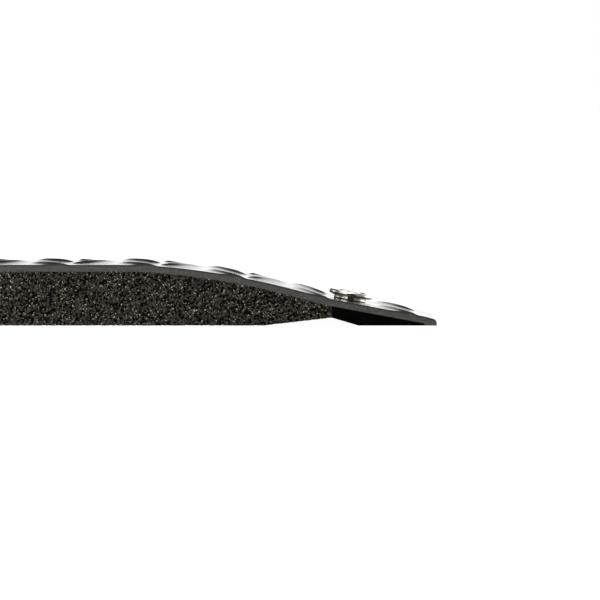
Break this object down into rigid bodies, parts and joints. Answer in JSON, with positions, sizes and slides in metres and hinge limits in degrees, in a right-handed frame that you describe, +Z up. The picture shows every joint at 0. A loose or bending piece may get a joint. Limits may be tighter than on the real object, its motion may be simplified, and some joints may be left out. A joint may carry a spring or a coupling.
{
  "type": "anti-fatigue floor mat edge sample",
  "caption": "Narrow strip cut across the bevelled edge of a sponge-backed diamond-plate vinyl anti-fatigue mat, with a press stud for a grounding lead.",
  "frame": {"origin": "centre of the underside's bounding rectangle, on the floor", "axes": "+X along the strip towards the bevel's tip, +Y across the strip's width, +Z up"},
  "size_m": [0.15, 0.029, 0.0141],
  "materials": {
    "vinyl": "gloss",
    "sponge": "matte",
    "wedge": "matte",
    "nickel": "polished"
  },
  "bodies": {
    "root": {"vinyl_top": "vinyl", "sponge_base": "sponge", "edge_wedge": "wedge", "stud_head": "nickel", "stud_eyelet": "nickel"}
  },
  "joints": []
}
